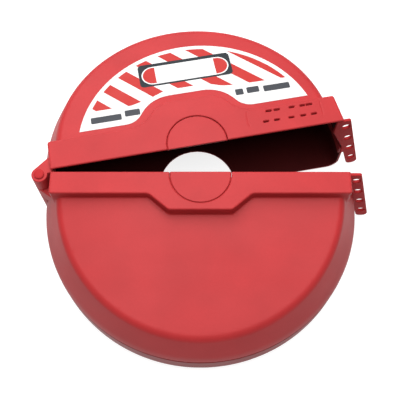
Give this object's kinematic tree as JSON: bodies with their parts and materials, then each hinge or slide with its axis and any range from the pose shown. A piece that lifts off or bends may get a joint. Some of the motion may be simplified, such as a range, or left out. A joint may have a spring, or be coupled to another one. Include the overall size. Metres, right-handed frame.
{
  "type": "gate valve lockout",
  "caption": "Round clamshell lockout that closes two hinged hollow half discs over a valve handwheel and takes padlocks in a hasp at its rim.",
  "frame": {"origin": "on the valve stem's axis, where it crosses the plane of the back face of the closed halves", "axes": "+Z out of the front face along the valve stem and parallel to the hinge pin; +X from the hinge towards the padlock holes, along the lower half's split edge; +Y from the lower half to the upper half. The lower half is fixed and the upper half rests open by 10.5 degrees."},
  "size_m": [0.378, 0.4008, 0.118],
  "materials": {
    "casing_front": "satin moulded polypropylene",
    "casing_rear": "satin moulded polypropylene",
    "knockout": "satin moulded polypropylene",
    "hasp_plate": "satin moulded polypropylene",
    "label": "printed vinyl",
    "pin": "moulded nylon rod with a flat head",
    "retainer": "moulded nylon push-on cap"
  },
  "bodies": {
    "lower_half": {"lower_rear_casing": "casing_rear", "lower_front_casing": "casing_front", "lower_knockout": "knockout", "lower_hasp_plate": "hasp_plate", "hinge_pin": "pin", "pin_retainer": "retainer"},
    "upper_half": {"upper_rear_casing": "casing_rear", "upper_front_casing": "casing_front", "upper_knockout": "knockout", "upper_hasp_plate": "hasp_plate", "face_label": "label"}
  },
  "joints": [
    {"name": "halves_hinge", "type": "hinge", "parent": "lower_half", "child": "upper_half", "pos_m": [-0.17, 0, 0], "axis": [0, 0, 1], "range_deg": [-10.5, 109.5]}
  ]
}
